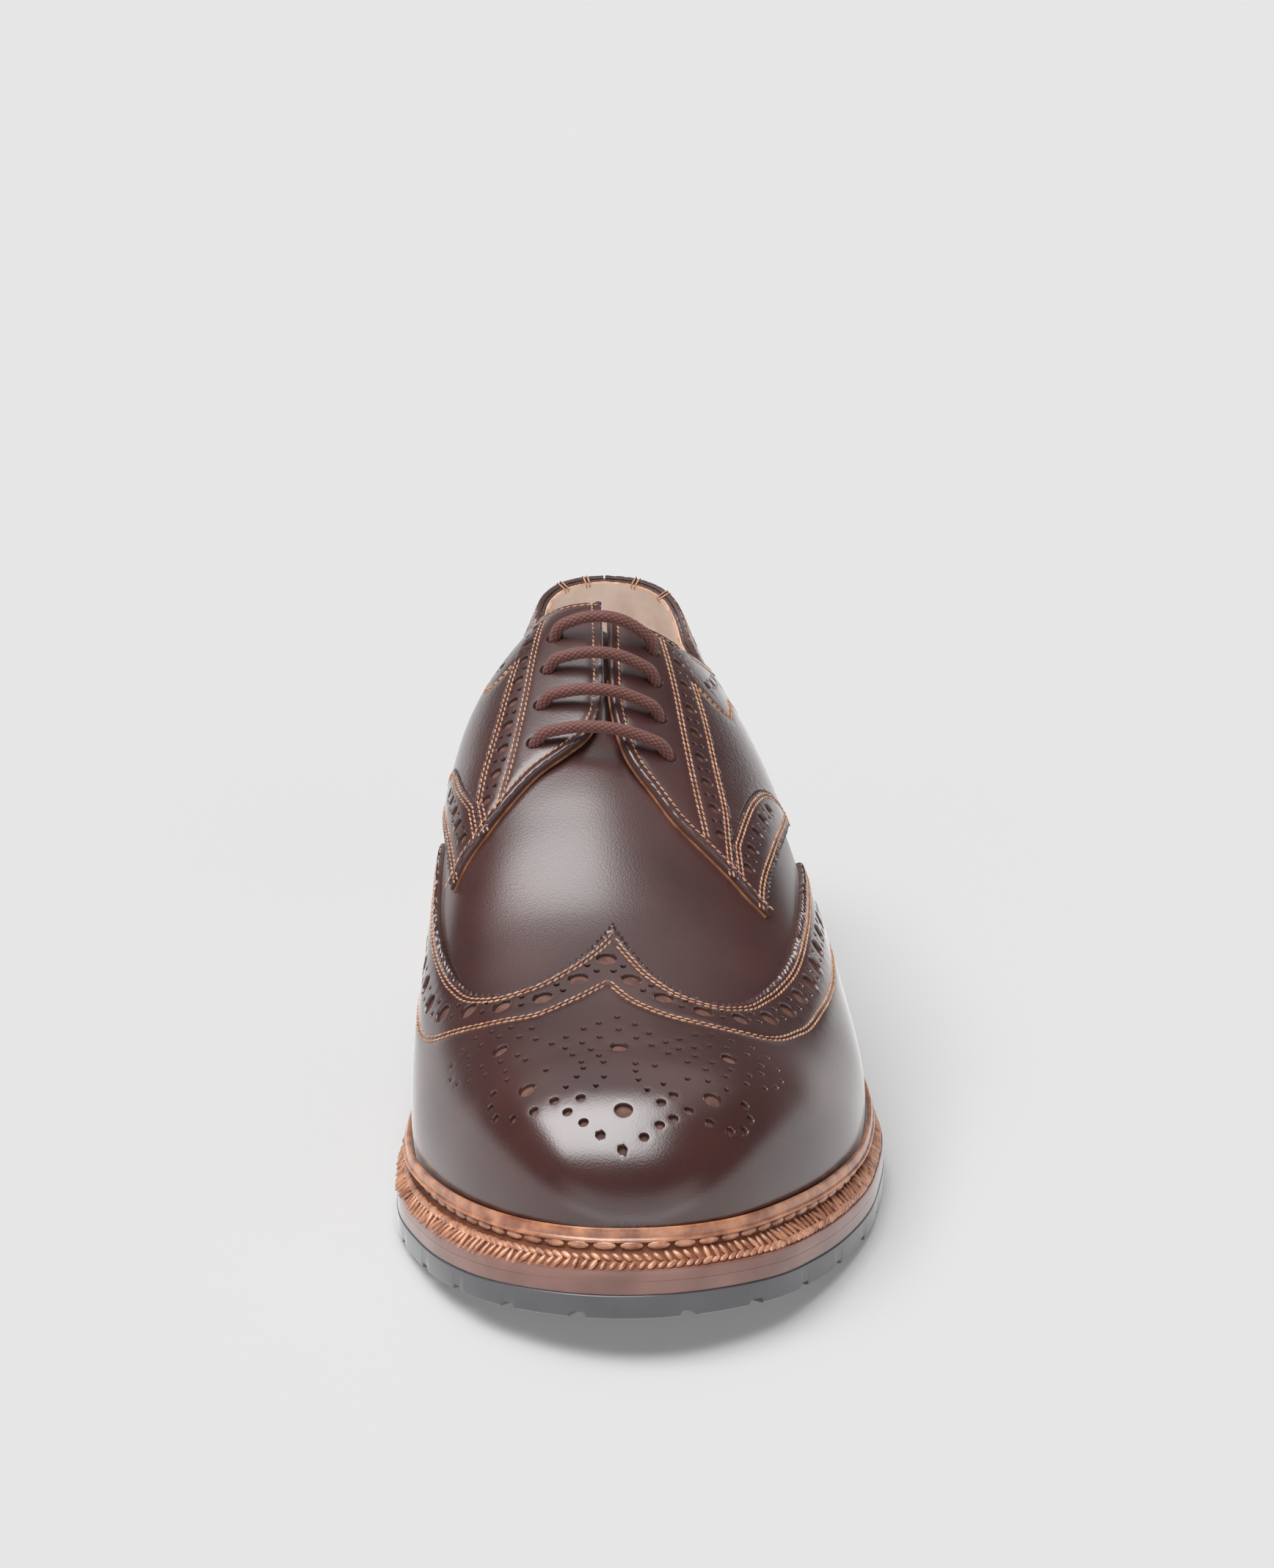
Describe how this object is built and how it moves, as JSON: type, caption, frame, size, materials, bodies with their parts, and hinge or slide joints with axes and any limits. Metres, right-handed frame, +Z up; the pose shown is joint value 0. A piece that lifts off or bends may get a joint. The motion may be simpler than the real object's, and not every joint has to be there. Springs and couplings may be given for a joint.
{
  "type": "derby shoe",
  "caption": "Left full brogue derby shoe in polished leather with a winged toe cap, laced facings, storm welt, rubber sole and stacked heel.",
  "frame": {"origin": "middle of the bounding box's bottom, on the floor under the shoe", "axes": "+X to the lateral side of the left foot, +Y from toe to heel, +Z up"},
  "size_m": [0.1138, 0.308, 0.1196],
  "materials": {
    "brown_calf": "polished, glossy",
    "welt_leather": "satin",
    "sole_edge_leather": "satin",
    "heel_stack_leather": "satin",
    "rubber": "matte",
    "suede_lining": "suede",
    "brown_cord": "braided, matte"
  },
  "bodies": {
    "root": {"outsole": "rubber", "heel_lift": "rubber", "midsole": "sole_edge_leather", "welt": "welt_leather", "heel_stack": "heel_stack_leather", "insole": "suede_lining", "upper": "brown_calf", "tongue": "brown_calf", "wing_cap": "brown_calf", "facing_medial": "brown_calf", "facing_lateral": "brown_calf", "ear_medial": "brown_calf", "ear_lateral": "brown_calf", "quarter_medial": "brown_calf", "quarter_lateral": "brown_calf", "heel_counter": "brown_calf", "lace_1": "brown_cord", "lace_2": "brown_cord", "lace_3": "brown_cord", "lace_4": "brown_cord"}
  },
  "joints": []
}
